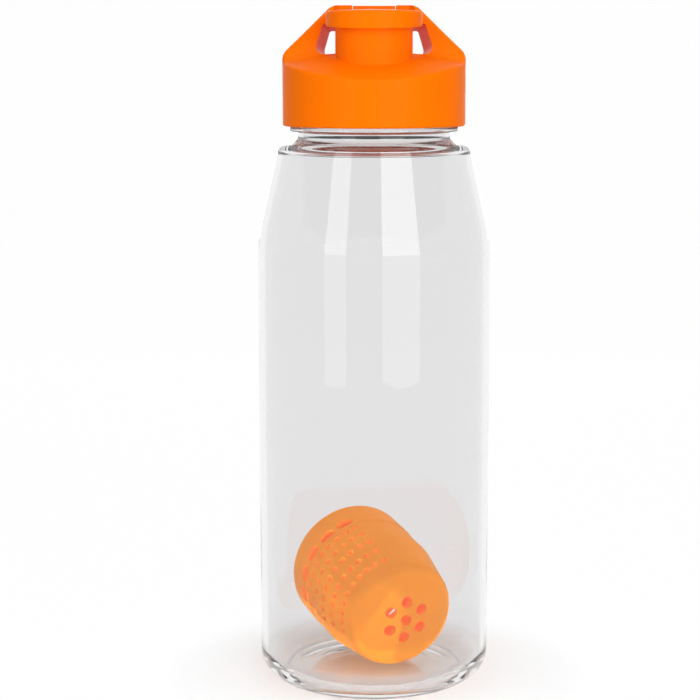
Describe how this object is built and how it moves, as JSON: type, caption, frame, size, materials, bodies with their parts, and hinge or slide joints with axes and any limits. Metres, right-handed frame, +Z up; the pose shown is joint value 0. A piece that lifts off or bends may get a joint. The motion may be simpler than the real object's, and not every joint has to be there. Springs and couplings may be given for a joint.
{
  "type": "fruit infuser water bottle",
  "caption": "Clear wide bottle with a screw lid, arched handle, hinged flip cap over a drinking spout, and a loose perforated infuser capsule lying inside.",
  "frame": {"origin": "on the bottle's axis, at the level of the table it stands on", "axes": "+Z up the bottle's axis, -Y towards the front where the spout is, +X to the right as seen from the front"},
  "size_m": [0.08, 0.08, 0.2335],
  "materials": {
    "clear_plastic": "clear polished copolyester",
    "lid_orange": "satin moulded polypropylene, deep orange",
    "infuser_orange": "satin moulded polypropylene, lighter orange",
    "silicone": "soft matte silicone, off white",
    "pin_steel": "drawn stainless wire"
  },
  "bodies": {
    "bottle": {"bottle_body": "clear_plastic"},
    "lid_ring": {"lid_gasket": "silicone"},
    "lid": {"lid": "lid_orange", "hinge_pin": "pin_steel"},
    "flip_cap": {"flip_cap": "lid_orange", "spout_seal": "silicone"},
    "infuser": {"infuser_basket": "infuser_orange"},
    "infuser_cap": {"infuser_cap": "infuser_orange"}
  },
  "joints": [
    {"name": "lid_lift", "type": "slide", "parent": "bottle", "child": "lid_ring", "axis": [0, 0, 1], "range_m": [0, 0.0076]},
    {"name": "lid_turn", "type": "hinge", "parent": "lid_ring", "child": "lid", "pos_m": [0, 0, 0.2], "axis": [0, 0, 1], "range_deg": [0, 540]},
    {"name": "flip_cap_hinge", "type": "hinge", "parent": "lid", "child": "flip_cap", "pos_m": [0, 0.0085, 0.23047], "axis": [-1, 0, 0], "range_deg": [0, 150]},
    {"name": "infuser_float", "type": "slide", "parent": "bottle", "child": "infuser", "axis": [0, 0, 1], "range_m": [0, 0.09]},
    {"name": "infuser_cap_twist", "type": "hinge", "parent": "infuser", "child": "infuser_cap", "pos_m": [-0.00712, 0.0209, 0.03171], "axis": [0.4124, -0.8925, -0.1827], "range_deg": [0, 40]}
  ],
  "couplings": [
    {"joint": "lid_lift", "follows": "lid_turn", "m_per_rad": 0.00079577}
  ]
}
